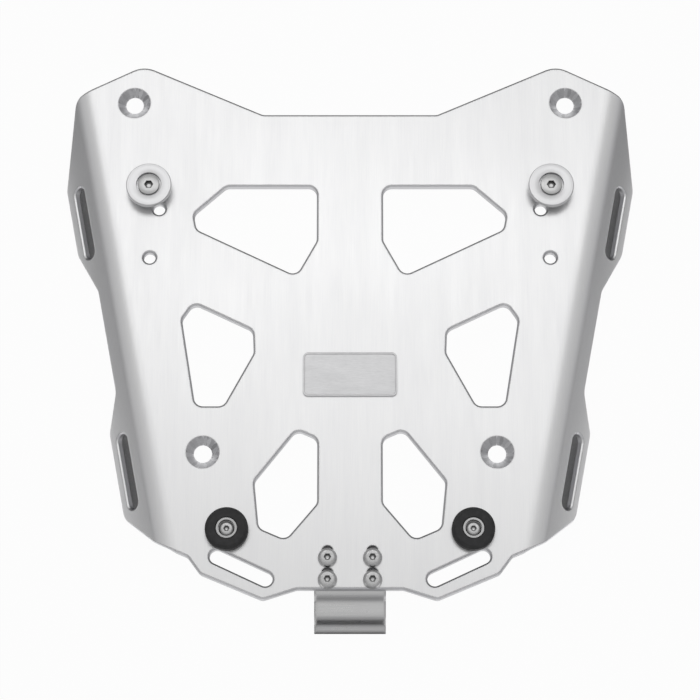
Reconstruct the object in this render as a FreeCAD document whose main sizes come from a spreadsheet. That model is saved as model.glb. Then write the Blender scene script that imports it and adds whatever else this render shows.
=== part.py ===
import FreeCAD, Part

import math
import os

import Sketcher

# Motorcycle luggage rack, in millimetres. X points to the right, Y to the front
# of the motorcycle and Z up. The origin lies in the underside of the plate, on
# the centre line, halfway between the front and the rear pair of mounting holes.

Vector = FreeCAD.Vector

os.makedirs("parts", exist_ok=True)
doc = FreeCAD.newDocument("luggage_rack")

# Driving dimensions. Every pair of _x and _y cells is a corner of the right half.
SIZES = [
    ("sheet_t", 4.0),
    ("edge_break", 0.8),
    ("recess_x", 44.8),
    ("recess_y", 87.0),
    ("horn_x", 106.8),
    ("horn_y", 114.6),
    ("tail_step_x", 79.3),
    ("tail_step_y", -146.4),
    ("tail_side_x", 73.0),
    ("tail_side_y", -155.0),
    ("tail_tip_x", 42.5),
    ("tail_tip_y", -167.9),
    ("tail_edge_x", 26.0),
    ("tail_edge_y", -162.6),
    ("horn_round", 13.0),
    ("recess_round", 5.0),
    ("tail_round", 4.0),
    ("fold_x", 112.9),
    ("fold_skew", 11.0),
    ("fold_angle", 45.0),
    ("fold_radius", 14.5),
    ("fold_front", 103.7),
    ("fold_rear", -146.7),
    ("corner_round", 9.0),
    ("ear_round", 8.0),
    ("ear_a_start", 56.5),
    ("ear_a_end", 20.5),
    ("ear_a_reach", 18.9),
    ("waist_start", -3.0),
    ("waist_end", -57.5),
    ("waist_reach", 8.6),
    ("ear_b_start", -76.5),
    ("ear_b_end", -121.3),
    ("ear_b_reach", 18.3),
    ("strap_slot_w", 7.2),
    ("strap_slot_len", 39.0),
    ("slot_a_along", 35.2),
    ("slot_a_across", 9.4),
    ("slot_b_along", -99.0),
    ("slot_b_across", 9.6),
    ("win_round", 4.5),
    ("win_a1_x", 16.9),
    ("win_a1_y", 47.3),
    ("win_a2_x", 63.0),
    ("win_a2_y", 47.3),
    ("win_a3_x", 79.5),
    ("win_a3_y", 32.3),
    ("win_a4_x", 77.9),
    ("win_a4_y", 23.9),
    ("win_a5_x", 27.1),
    ("win_a5_y", -1.0),
    ("win_a6_x", 16.9),
    ("win_a6_y", 17.8),
    ("win_b1_x", 78.6),
    ("win_b1_y", -15.5),
    ("win_b2_x", 84.4),
    ("win_b2_y", -24.2),
    ("win_b3_x", 76.9),
    ("win_b3_y", -69.7),
    ("win_b4_x", 62.9),
    ("win_b4_y", -69.7),
    ("win_b5_x", 48.2),
    ("win_b5_y", -42.1),
    ("win_b6_x", 48.7),
    ("win_b6_y", -30.0),
    ("win_c1_x", 16.2),
    ("win_c1_y", -86.5),
    ("win_c2_x", 26.5),
    ("win_c2_y", -81.9),
    ("win_c3_x", 47.1),
    ("win_c3_y", -108.3),
    ("win_c4_x", 44.7),
    ("win_c4_y", -132.0),
    ("win_c5_x", 31.4),
    ("win_c5_y", -137.8),
    ("win_c6_x", 16.2),
    ("win_c6_y", -119.5),
    ("tail_slot_x", 53.1),
    ("tail_slot_y", -151.9),
    ("tail_slot_angle", 25.3),
    ("tail_slot_len", 33.4),
    ("front_bolt_x", 111.2),
    ("front_bolt_y", 93.5),
    ("rear_bolt_x", 72.8),
    ("rear_bolt_y", -93.5),
    ("bolt_hole_d", 9.0),
    ("bolt_sink_d", 16.6),
    ("spare_hole_d", 6.0),
    ("spare_a_x", 97.1),
    ("spare_a_y", 34.9),
    ("spare_b_x", 101.4),
    ("spare_b_y", 8.7),
    ("disc_x", 102.2),
    ("disc_y", 45.5),
    ("disc_d", 23.0),
    ("disc_stem_d", 14.0),
    ("disc_lift", 4.6),
    ("disc_h", 8.0),
    ("disc_edge", 0.6),
    ("disc_dish", 0.5),
    ("buffer_x", 60.3),
    ("buffer_y", -133.0),
    ("buffer_d", 21.2),
    ("buffer_h", 5.0),
    ("buffer_edge", 1.5),
    ("sleeve_d", 10.2),
    ("sleeve_bore", 8.2),
    ("sleeve_h", 4.6),
    ("sleeve_floor", 1.2),
    ("play", 0.3),
    ("hook_w", 35.0),
    ("hook_t", 3.0),
    ("hook_bend", 1.0),
    ("hook_start_y", -137.0),
    ("hook_brow_y", -164.3),
    ("hook_step_y", -166.9),
    ("hook_step_z", -4.5),
    ("hook_roll_y", -174.6),
    ("hook_roll_z", -5.0),
    ("hook_fall_y", -177.4),
    ("hook_fall_z", -10.3),
    ("hook_lip_y", -181.4),
    ("hook_lip_z", -12.0),
    ("hook_bolt_x", 11.0),
    ("hook_bolt_front_y", -147.0),
    ("hook_bolt_rear_y", -157.9),
    ("hook_slot_travel", 3.4),
    ("name_plate_x", 47.0),
    ("name_plate_y", 22.8),
    ("name_plate_t", 1.0),
    ("name_plate_round", 2.7),
    ("name_plate_rim", 0.9),
    ("name_plate_sink", 0.3),
    ("name_plate_centre_y", -53.4),
    ("m4_d", 4.0),
    ("m4_head_d", 7.6),
    ("m4_head_h", 2.2),
    ("m4_key", 2.5),
    ("m4_length", 12.0),
    ("m4_nut_af", 7.0),
    ("m4_nut_h", 5.0),
    ("m4_washer_d", 9.0),
    ("m4_washer_t", 0.8),
    ("m5_d", 5.0),
    ("m5_head_d", 9.5),
    ("m5_head_h", 2.75),
    ("m5_key", 3.0),
    ("m5_length", 14.0),
    ("m5_nut_af", 8.0),
    ("m5_nut_h", 5.0),
    ("m6_d", 6.0),
    ("m6_head_d", 12.2),
    ("m6_key", 4.0),
    ("m6_length", 20.0),
    ("m6_nut_af", 10.0),
    ("m6_nut_h", 6.0),
    ("m6_washer_d", 12.0),
    ("m6_washer_t", 1.6),
]

sheet = doc.addObject("Spreadsheet::Sheet", "Sizes")
for row, (name, value) in enumerate(SIZES, start=1):
    sheet.set("A%d" % row, str(value))
    sheet.setAlias("A%d" % row, name)
doc.recompute()


def size(name):
    """Read one driving dimension as a plain number."""
    return float(sheet.get(name))


def value_of(holder, text):
    """Evaluate an expression over the sheet as a plain number."""
    result = holder.evalExpression(text)
    return float(getattr(result, "Value", result))


def axis_plane(body, role):
    """Find one of the origin planes of a body by its role."""
    for feature in body.Origin.OriginFeatures:
        if feature.Role == role:
            return feature
    raise ValueError(role)


def new_sketch(body, name, role):
    """Add a sketch that lies on an origin plane of the body."""
    sketch = body.newObject("Sketcher::SketchObject", name)
    sketch.AttachmentSupport = [(axis_plane(body, role), "")]
    sketch.MapMode = "FlatFace"
    return sketch


def bind(sketch, kind, places, text):
    """Add one driven dimension whose value is an expression over the sheet."""
    number = value_of(sketch, text)
    index = sketch.addConstraint(Sketcher.Constraint(kind, *places, number))
    sketch.setExpression("Constraints[%d]" % index, text)


def pin_point(sketch, place, x_text, y_text):
    """Hold one sketch point at a pair of expressions from the origin."""
    if x_text == "0":
        sketch.addConstraint(Sketcher.Constraint("PointOnObject", *place, -2))
    else:
        bind(sketch, "DistanceX", (-1, 1) + place, x_text)
    if y_text == "0":
        sketch.addConstraint(Sketcher.Constraint("PointOnObject", *place, -1))
    else:
        bind(sketch, "DistanceY", (-1, 1) + place, y_text)


def draw_polygon(sketch, corners):
    """Draw a closed polygon, each corner given as two expressions."""
    spots = [Vector(value_of(sketch, x), value_of(sketch, y), 0) for x, y in corners]
    first = sketch.GeometryCount
    count = len(spots)
    for i in range(count):
        sketch.addGeometry(Part.LineSegment(spots[i], spots[(i + 1) % count]), False)
    for i in range(count):
        nxt = first + (i + 1) % count
        sketch.addConstraint(Sketcher.Constraint("Coincident", first + i, 2, nxt, 1))
    for i, (x, y) in enumerate(corners):
        pin_point(sketch, (first + i, 1), x, y)


def draw_circle(sketch, x, y, diameter):
    """Draw a full circle from expressions."""
    centre = Vector(value_of(sketch, x), value_of(sketch, y), 0)
    radius = value_of(sketch, diameter) / 2
    index = sketch.addGeometry(Part.Circle(centre, Vector(0, 0, 1), radius), False)
    pin_point(sketch, (index, 3), x, y)
    bind(sketch, "Diameter", (index,), diameter)


def draw_slot(sketch, ends, width):
    """Draw a slot with round ends about two centres given as expressions."""
    (x1, y1), (x2, y2) = ends
    a = Vector(value_of(sketch, x1), value_of(sketch, y1), 0)
    b = Vector(value_of(sketch, x2), value_of(sketch, y2), 0)
    r = value_of(sketch, width) / 2
    turn = math.atan2(b.y - a.y, b.x - a.x)
    side = Vector(-math.sin(turn) * r, math.cos(turn) * r, 0)
    up = Vector(0, 0, 1)
    quarter = math.pi / 2
    first = sketch.addGeometry(
        Part.ArcOfCircle(Part.Circle(a, up, r), turn + quarter, turn + 3 * quarter), False)
    sketch.addGeometry(
        Part.ArcOfCircle(Part.Circle(b, up, r), turn - quarter, turn + quarter), False)
    sketch.addGeometry(Part.LineSegment(a - side, b - side), False)
    sketch.addGeometry(Part.LineSegment(b + side, a + side), False)
    far, low, high = first + 1, first + 2, first + 3
    for one, p, two, q in ((first, 2, low, 1), (low, 2, far, 1),
                           (far, 2, high, 1), (high, 2, first, 1)):
        sketch.addConstraint(Sketcher.Constraint("Tangent", one, p, two, q))
    pin_point(sketch, (first, 3), x1, y1)
    pin_point(sketch, (far, 3), x2, y2)
    bind(sketch, "Diameter", (first,), width)


def volume(feature):
    """Volume of a feature after a recompute."""
    doc.recompute()
    return feature.Shape.Volume


def cut_through(body, sketch, name):
    """Pocket a sketch through the whole body and make sure that it removes metal."""
    before = body.Shape.Volume
    pocket = body.newObject("PartDesign::Pocket", name)
    pocket.Profile = sketch
    pocket.Type = "ThroughAll"
    pocket.Midplane = True
    sketch.Visibility = False
    if volume(pocket) > before - 1:
        raise ValueError(name)
    return pocket


def mirror(body, features, name):
    """Mirror features to the left half of the body."""
    twin = body.newObject("PartDesign::Mirrored", name)
    twin.Originals = features
    twin.MirrorPlane = (axis_plane(body, "YZ_Plane"), [""])
    body.Tip = twin
    doc.recompute()
    return twin


def rounded_wire(spots, radii):
    """Closed wire through flat corners, each rounded by its own radius."""
    count = len(spots)
    arcs = []
    for i in range(count):
        here, radius = spots[i], radii[i]
        back = (spots[i - 1] - here).normalize()
        ahead = (spots[(i + 1) % count] - here).normalize()
        if radius <= 0:
            arcs.append((here, None, here))
            continue
        half = back.getAngle(ahead) / 2
        reach = radius / math.tan(half)
        middle = (back + ahead).normalize()
        centre = here + middle * (radius / math.sin(half))
        arcs.append((here + back * reach, centre - middle * radius, here + ahead * reach))
    edges = []
    for i in range(count):
        start, mid, end = arcs[i]
        if mid is not None:
            edges.append(Part.Arc(start, mid, end).toShape())
        nxt = arcs[(i + 1) % count][0]
        if end.distanceToPoint(nxt) > 1e-6:
            edges.append(Part.makeLine(end, nxt))
    return Part.Wire(edges)


def edge_slope(corner, along):
    """Slope of a plate edge in the side frame, from a corner to a spot on the fold."""
    skew = math.radians(size("fold_skew"))
    dx = size("fold_x") + along * math.sin(skew) - size(corner + "_x")
    dy = along * math.cos(skew) - size(corner + "_y")
    across = dx * math.cos(skew) - dy * math.sin(skew)
    return (dx * math.sin(skew) + dy * math.cos(skew)) / across


# The plate blank: a flat middle and two sides folded down along skew lines. A side
# is drawn in its own frame: Y runs along the fold, X points outward across it and
# the sheet's top face is Z = 0. Its outline is laid out on the unfolded sheet, so
# every cut edge stays square to the sheet around the bend.
def side_shape():
    t, r = size("sheet_t"), size("fold_radius")
    angle = math.radians(size("fold_angle"))
    bend = r * angle
    front, rear = size("fold_front"), size("fold_rear")
    front_slope = edge_slope("horn", front)
    rear_slope = edge_slope("tail_step", rear)
    start = bend + t / 20
    tip = Vector(start, front + front_slope * start, 0)
    heel = Vector(bend, rear + rear_slope * bend, 0)
    ear_a, ear_b = bend + size("ear_a_reach"), bend + size("ear_b_reach")
    waist = bend + size("waist_reach")
    spots = [
        Vector(-1, front - front_slope, 0),
        tip,
        Vector(ear_a, size("ear_a_start"), 0),
        Vector(ear_a, size("ear_a_end"), 0),
        Vector(waist, size("waist_start"), 0),
        Vector(waist, size("waist_end"), 0),
        Vector(ear_b, size("ear_b_start"), 0),
        Vector(ear_b, size("ear_b_end"), 0),
        heel,
        Vector(-1, rear - rear_slope, 0),
    ]
    soft = size("ear_round")
    radii = [0, size("corner_round")] + [soft] * 7 + [0]
    flat = Part.Face(rounded_wire(spots, radii))

    # Reach of the unfolded outline along the fold, at one distance across it.
    def limits(across):
        probe = Part.makeLine(Vector(across, 2 * rear, 0), Vector(across, 2 * front, 0))
        box = flat.common(probe).BoundBox
        return box.YMin, box.YMax

    # The bend: a ring sector, trimmed by a ruled body through radial sections.
    spare = t / 2
    sections = []
    steps = 12
    for i in range(steps + 1):
        turn = angle * i / steps
        low, high = limits(r * turn)
        out = Vector(math.sin(turn), 0, math.cos(turn))
        axis = Vector(0, 0, -r)
        inner = axis + out * (r - t - spare)
        outer = axis + out * (r + spare)
        corners = [
            Vector(inner.x, low, inner.z),
            Vector(outer.x, low, outer.z),
            Vector(outer.x, high, outer.z),
            Vector(inner.x, high, inner.z),
        ]
        sections.append(Part.makePolygon(corners + corners[:1]))
    trim = Part.makeLoft(sections, True, True)
    section = Part.makePolygon([
        Vector(0, 2 * rear, 0), Vector(0, 2 * front, 0),
        Vector(0, 2 * front, -t), Vector(0, 2 * rear, -t), Vector(0, 2 * rear, 0)])
    ring = Part.Face(section).revolve(Vector(0, 0, -r), Vector(0, 1, 0), size("fold_angle"))
    ring = ring.common(trim)

    # The flange beyond the bend, cut from the same outline, with its strap slots.
    beyond = Part.makePlane(2 * ear_a, 2 * (front - rear), Vector(bend, 2 * rear, 0))
    wing = flat.common(beyond).extrude(Vector(0, 0, -t))
    width = size("strap_slot_w")
    half = (size("strap_slot_len") - width) / 2
    for name in ("slot_a", "slot_b"):
        x = bend + size(name + "_across")
        y = size(name + "_along")
        near = [Vector(x - width / 2, y - half - width / 2, 0),
                Vector(x + width / 2, y - half - width / 2, 0),
                Vector(x + width / 2, y + half + width / 2, 0),
                Vector(x - width / 2, y + half + width / 2, 0)]
        hole = Part.Face(rounded_wire(near, [width / 2 - 1e-4] * 4))
        wing = wing.cut(hole.extrude(Vector(0, 0, -t)))
    wing.translate(Vector(-bend, 0, 0))
    wing.rotate(Vector(0, 0, 0), Vector(0, 1, 0), size("fold_angle"))
    wing.translate(Vector(r * math.sin(angle), 0, -r * (1 - math.cos(angle))))
    side = ring.fuse(wing)
    side.rotate(Vector(0, 0, 0), Vector(0, 0, 1), -size("fold_skew"))
    side.translate(Vector(size("fold_x"), 0, t))
    return side


def blank_shape():
    t = size("sheet_t")
    skew = math.radians(size("fold_skew"))
    front, rear = size("fold_front"), size("fold_rear")
    half = [
        (size("recess_x"), size("recess_y"), size("recess_round")),
        (size("horn_x"), size("horn_y"), size("horn_round")),
        (size("fold_x") + front * math.sin(skew), front * math.cos(skew), 0),
        (size("fold_x") + rear * math.sin(skew), rear * math.cos(skew), 0),
        (size("tail_step_x"), size("tail_step_y"), size("tail_round")),
        (size("tail_side_x"), size("tail_side_y"), size("tail_round")),
        (size("tail_tip_x"), size("tail_tip_y"), size("tail_round")),
        (size("tail_edge_x"), size("tail_edge_y"), size("tail_round")),
    ]
    spots = [Vector(x, y, 0) for x, y, radius in half]
    spots += [Vector(-x, y, 0) for x, y, radius in reversed(half)]
    radii = [radius for x, y, radius in half]
    radii += radii[::-1]
    flat = Part.Face(rounded_wire(spots, radii)).extrude(Vector(0, 0, t))
    right = side_shape()
    left = right.mirror(Vector(0, 0, 0), Vector(1, 0, 0))
    return flat.fuse([right, left]).removeSplitter()


blank = doc.addObject("Part::Feature", "folded_blank")
blank.Shape = blank_shape()
doc.recompute()

plate = doc.addObject("PartDesign::Body", "rack_plate")
plate.Label = "rack_plate"
plate.BaseFeature = blank
doc.recompute()

# Six windows lighten the plate, three each side of the centre line.
windows = new_sketch(plate, "window_outlines", "XY_Plane")
for group in "abc":
    corners = [("Sizes.win_%s%d_x" % (group, i), "Sizes.win_%s%d_y" % (group, i))
               for i in range(1, 7)]
    draw_polygon(windows, corners)
window_cut = cut_through(plate, windows, "windows")
window_twin = mirror(plate, [window_cut], "windows_left")

# The sharp window corners are rounded by the cutter's radius.
corner_spots = []
for group in "abc":
    for i in range(1, 7):
        x = size("win_%s%d_x" % (group, i))
        y = size("win_%s%d_y" % (group, i))
        corner_spots += [(x, y), (-x, y)]
picked = []
for i, edge in enumerate(window_twin.Shape.Edges, start=1):
    if len(edge.Vertexes) != 2:
        continue
    a, b = edge.Vertexes[0].Point, edge.Vertexes[1].Point
    if math.hypot(a.x - b.x, a.y - b.y) > 1e-4:
        continue
    if any(math.hypot(a.x - x, a.y - y) < 0.01 for x, y in corner_spots):
        picked.append("Edge%d" % i)
corners_round = plate.newObject("PartDesign::Fillet", "window_corners")
corners_round.Base = (window_twin, picked)
corners_round.setExpression("Radius", "Sizes.win_round")
plate.Tip = corners_round
doc.recompute()

# Slots in the tail: one slanted strap slot each side and the hook's adjusting slots.
slots = new_sketch(plate, "slot_outlines", "XY_Plane")
reach = "(Sizes.tail_slot_len - Sizes.strap_slot_w) / 2 * %s(Sizes.tail_slot_angle * 1 deg)"
draw_slot(slots, [
    ("Sizes.tail_slot_x - " + reach % "cos", "Sizes.tail_slot_y - " + reach % "sin"),
    ("Sizes.tail_slot_x + " + reach % "cos", "Sizes.tail_slot_y + " + reach % "sin"),
], "Sizes.strap_slot_w")
for row in ("front", "rear"):
    y = "Sizes.hook_bolt_%s_y" % row
    draw_slot(slots, [("Sizes.hook_bolt_x", y),
                      ("Sizes.hook_bolt_x", y + " + Sizes.hook_slot_travel")],
              "Sizes.m5_d + 2 * Sizes.play")
slot_cut = cut_through(plate, slots, "slots")

# Plain holes: two spare ones each side and those of the discs and buffers.
holes = new_sketch(plate, "hole_outlines", "XY_Plane")
draw_circle(holes, "Sizes.spare_a_x", "Sizes.spare_a_y", "Sizes.spare_hole_d")
draw_circle(holes, "Sizes.spare_b_x", "Sizes.spare_b_y", "Sizes.spare_hole_d")
draw_circle(holes, "Sizes.disc_x", "Sizes.disc_y", "Sizes.m6_d + 2 * Sizes.play")
draw_circle(holes, "Sizes.buffer_x", "Sizes.buffer_y", "Sizes.m4_d + 2 * Sizes.play")
hole_cut = cut_through(plate, holes, "plain_holes")

# Mounting holes, countersunk from above at 90 degrees.
bolts = plate.newObject("Sketcher::SketchObject", "bolt_places")
bolts.AttachmentSupport = [(axis_plane(plate, "XY_Plane"), "")]
bolts.MapMode = "FlatFace"
bolts.setExpression("AttachmentOffset.Base.z", "Sizes.sheet_t")
draw_circle(bolts, "Sizes.front_bolt_x", "Sizes.front_bolt_y", "Sizes.bolt_hole_d")
draw_circle(bolts, "Sizes.rear_bolt_x", "Sizes.rear_bolt_y", "Sizes.bolt_hole_d")
doc.recompute()
before_sinks = plate.Shape.Volume
sinks = plate.newObject("PartDesign::Hole", "countersunk_holes")
sinks.Profile = bolts
doc.recompute()
sinks.Threaded = False
sinks.DepthType = "ThroughAll"
sinks.HoleCutType = "Countersink"
sinks.setExpression("Diameter", "Sizes.bolt_hole_d")
sinks.setExpression("HoleCutDiameter", "Sizes.bolt_sink_d")
sinks.HoleCutCountersinkAngle = 90
bolts.Visibility = False
if volume(sinks) > before_sinks - 1:
    raise ValueError("countersunk_holes")
left_cuts = mirror(plate, [slot_cut, hole_cut, sinks], "cuts_left")


# Every upper edge of the sheet is broken by a small chamfer, which catches the light.
def skin_faces(shape):
    """Numbers of the faces that make up the upper skin of the folded sheet."""
    t, r = size("sheet_t"), size("fold_radius")
    tilt = math.cos(math.radians(size("fold_angle")))
    found = set()
    for i, face in enumerate(shape.Faces):
        surface = face.Surface
        if isinstance(surface, Part.Plane):
            normal = face.normalAt(*face.ParameterRange[::2])
            flat_top = normal.z > 0.999 and abs(face.CenterOfMass.z - t) < 1e-3
            wing_top = abs(normal.z - tilt) < 1e-3 and abs(normal.x) > 0.1
            if flat_top or wing_top:
                found.add(i)
        elif isinstance(surface, Part.Cylinder) and abs(surface.Radius - r) < 1e-3:
            found.add(i)
    return found


def rim_edges(shape):
    """Names of the edges between the upper skin and the cut walls, holes apart."""
    skin = skin_faces(shape)
    reach = size("bolt_sink_d") / 2 + size("edge_break")
    kept_sharp = [(size("disc_x"), size("disc_y")), (size("buffer_x"), size("buffer_y")),
                  (size("front_bolt_x"), size("front_bolt_y")),
                  (size("rear_bolt_x"), size("rear_bolt_y")),
                  (size("hook_bolt_x"), size("hook_bolt_front_y")),
                  (size("hook_bolt_x"), size("hook_bolt_rear_y"))]
    owners = {}
    for i, face in enumerate(shape.Faces):
        for edge in face.Edges:
            owners.setdefault(edge.hashCode(), set()).add(i)
    names = []
    for i, edge in enumerate(shape.Edges, start=1):
        around = owners.get(edge.hashCode(), set())
        if len(around) != 2 or len(around & skin) != 1:
            continue
        spot = edge.CenterOfMass
        if any(math.hypot(abs(spot.x) - x, spot.y - y) < reach for x, y in kept_sharp):
            continue
        names.append("Edge%d" % i)
    return names


rims = plate.newObject("PartDesign::Chamfer", "broken_rims")
rims.Base = (left_cuts, rim_edges(left_cuts.Shape))
rims.setExpression("Size", "Sizes.edge_break")
plate.Tip = rims
doc.recompute()


def piece(name):
    """Start a body for one piece; its label is the name of its node."""
    body = doc.addObject("PartDesign::Body", name)
    body.Label = name
    return body


def turn_profile(body, corners):
    """Turn a half profile, given as radius and height, about the Z axis."""
    sketch = new_sketch(body, "half_profile", "XZ_Plane")
    draw_polygon(sketch, corners)
    turned = body.newObject("PartDesign::Revolution", "turned")
    turned.Profile = sketch
    turned.ReferenceAxis = (sketch, ["V_Axis"])
    turned.Angle = 360
    sketch.Visibility = False
    body.Tip = turned
    doc.recompute()


def hexagon(across):
    """Corners of a hexagon with two flats square to Y, from its width across flats."""
    corners = []
    for i in range(6):
        reach = "%s / 2 / cos(30 deg)" % across
        y = "0" if i in (0, 3) else "%s * sin(%d deg)" % (reach, 60 * i)
        corners.append(("%s * cos(%d deg)" % (reach, 60 * i), y))
    return corners


def key_socket(body, across, top):
    """Sink a hexagon socket into the head of a screw, down from its top."""
    before = body.Shape.Volume
    sketch = new_sketch(body, "socket_outline", "XY_Plane")
    sketch.setExpression("AttachmentOffset.Base.z", top)
    draw_polygon(sketch, hexagon(across))
    socket = body.newObject("PartDesign::Pocket", "socket")
    socket.Profile = sketch
    socket.setExpression("Length", across + " * 0.6")
    sketch.Visibility = False
    if volume(socket) > before - 1:
        raise ValueError(body.Name)
    body.Tip = socket


def place(body, x, y, z):
    """Seat a body at three expressions."""
    for axis, text in (("x", x), ("y", y), ("z", z)):
        body.setExpression("Placement.Base." + axis, text)
    doc.recompute()


def button_screw(name, thread, x, y, z):
    """Button head screw: the head stands on Z = 0 and the shank hangs below."""
    d, head, high = ("Sizes.%s_%s" % (thread, key) for key in ("d", "head_d", "head_h"))
    end = "-Sizes.%s_length" % thread
    body = piece(name)
    turn_profile(body, [
        ("0", high),
        (head + " * 0.3", high),
        (head + " * 0.44", high + " * 0.62"),
        (head + " / 2", "0"),
        (d + " / 2", "0"),
        (d + " / 2", end),
        ("0", end),
    ])
    key_socket(body, "Sizes.%s_key" % thread, high)
    place(body, x, y, z)


def lock_nut(name, thread, x, y, z):
    """Hexagon nut hung below Z = 0, with a plain bore that clears its screw."""
    across, high, d = ("Sizes.%s_%s" % (thread, key) for key in ("nut_af", "nut_h", "d"))
    body = piece(name)
    blank = new_sketch(body, "hexagon_outline", "XY_Plane")
    draw_polygon(blank, hexagon(across))
    draw_circle(blank, "0", "0", d + " + 2 * Sizes.play")
    bar = body.newObject("PartDesign::Pad", "hexagon_bar")
    bar.Profile = blank
    bar.Reversed = True
    bar.setExpression("Length", high)
    blank.Visibility = False
    body.Tip = bar
    place(body, x, y, z)


def washer(name, thread, x, y, z):
    """Flat washer whose upper face is Z = 0."""
    body = piece(name)
    bore = "Sizes.%s_d / 2 + Sizes.play" % thread
    rim = "Sizes.%s_washer_d / 2" % thread
    foot = "-Sizes.%s_washer_t" % thread
    turn_profile(body, [(bore, "0"), (rim, "0"), (rim, foot), (bore, foot)])
    place(body, x, y, z)


SIDES = (("right", ""), ("left", "-"))
TOP = "Sizes.sheet_t"

# Turned discs that take the front of a top case: a stem lifts a wide flange off
# the plate, its upper face falls a little to the rim and is countersunk.
for side, sign in SIDES:
    x, y = sign + "Sizes.disc_x", "Sizes.disc_y"
    bore = "Sizes.m6_d / 2 + Sizes.play"
    sink = "Sizes.m6_head_d / 2 + Sizes.play"
    rim = "Sizes.disc_d / 2"
    high = "Sizes.disc_h"
    disc = piece("case_disc_" + side)
    turn_profile(disc, [
        (bore, "0"),
        ("Sizes.disc_stem_d / 2", "0"),
        ("Sizes.disc_stem_d / 2", "Sizes.disc_lift"),
        (rim, "Sizes.disc_lift"),
        (rim, high + " - Sizes.disc_dish - Sizes.disc_edge"),
        (rim + " - Sizes.disc_edge", high + " - Sizes.disc_dish"),
        (sink, high),
        (bore, high + " - (%s) + %s" % (sink, bore)),
    ])
    place(disc, x, y, TOP)

    screw = piece("disc_screw_" + side)
    head = "Sizes.m6_head_d / 2"
    shank = "Sizes.m6_d / 2"
    turn_profile(screw, [
        ("0", high),
        (head, high),
        (shank, high + " - %s + %s" % (head, shank)),
        (shank, high + " - Sizes.m6_length"),
        ("0", high + " - Sizes.m6_length"),
    ])
    key_socket(screw, "Sizes.m6_key", high)
    place(screw, x, y, TOP)
    washer("disc_washer_" + side, "m6", x, y, "0")
    lock_nut("disc_nut_" + side, "m6", x, y, "-Sizes.m6_washer_t")

# Rubber buffers under the rear of the case, each held by a screw in a metal cup.
for side, sign in SIDES:
    x, y = sign + "Sizes.buffer_x", "Sizes.buffer_y"
    rim = "Sizes.buffer_d / 2"
    seat = "Sizes.sleeve_d / 2 + Sizes.play"
    edge = "Sizes.buffer_edge"
    high = "Sizes.buffer_h"
    pad = piece("rubber_buffer_" + side)
    turn_profile(pad, [
        (seat, "0"),
        (rim, "0"),
        (rim, high + " - " + edge),
        (rim + " - " + edge, high),
        (seat, high),
    ])
    place(pad, x, y, TOP)

    cup = piece("buffer_cup_" + side)
    bore = "Sizes.m4_d / 2 + Sizes.play"
    turn_profile(cup, [
        (bore, "0"),
        ("Sizes.sleeve_d / 2", "0"),
        ("Sizes.sleeve_d / 2", "Sizes.sleeve_h"),
        ("Sizes.sleeve_bore / 2", "Sizes.sleeve_h"),
        ("Sizes.sleeve_bore / 2", "Sizes.sleeve_floor"),
        (bore, "Sizes.sleeve_floor"),
    ])
    place(cup, x, y, TOP)
    button_screw("buffer_screw_" + side, "m4", x, y, TOP + " + Sizes.sleeve_floor")
    washer("buffer_washer_" + side, "m4", x, y, "0")
    lock_nut("buffer_nut_" + side, "m4", x, y, "-Sizes.m4_washer_t")

# The catch at the tail: a strip bent in a press. It lies flat under the plate, is
# stepped down behind it, rolls over and ends in a short lip.
hook = piece("rear_hook")
outline = new_sketch(hook, "strip_outline", "YZ_Plane")
upper = [("Sizes.hook_start_y", "0"), ("Sizes.hook_brow_y", "0")]
upper += [("Sizes.hook_%s_y" % key, "Sizes.hook_%s_z" % key)
          for key in ("step", "roll", "fall", "lip")]
spots = [Vector(value_of(outline, y), value_of(outline, z), 0) for y, z in upper]
ways = [(spots[i + 1] - spots[i]).normalize() for i in range(len(spots) - 1)]
gauge = size("hook_t")
lower = []
for i, spot in enumerate(spots):
    before = ways[max(i - 1, 0)]
    after = ways[min(i, len(ways) - 1)]
    down_before = Vector(-before.y, before.x, 0)
    down_after = Vector(-after.y, after.x, 0)
    middle = (down_before + down_after).normalize()
    lower.append(spot + middle * (gauge / middle.dot(down_before)))
count = len(ways)
ring = spots + lower[::-1]
for i in range(len(ring)):
    outline.addGeometry(Part.LineSegment(ring[i], ring[(i + 1) % len(ring)]), False)
for i in range(len(ring)):
    nxt = (i + 1) % len(ring)
    outline.addConstraint(Sketcher.Constraint("Coincident", i, 2, nxt, 1))
for i, (y, z) in enumerate(upper):
    pin_point(outline, (i, 1), y, z)
for i in range(count):
    twin = 2 * count - i
    outline.addConstraint(Sketcher.Constraint("Parallel", i, twin))
    bind(outline, "Distance", (twin, 2, i), "Sizes.hook_t")
outline.addConstraint(Sketcher.Constraint("Perpendicular", count, count - 1))
outline.addConstraint(Sketcher.Constraint("Perpendicular", 2 * count + 1, 0))
strip = hook.newObject("PartDesign::Pad", "strip")
strip.Profile = outline
strip.Midplane = True
strip.setExpression("Length", "Sizes.hook_w")
outline.Visibility = False
doc.recompute()

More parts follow.
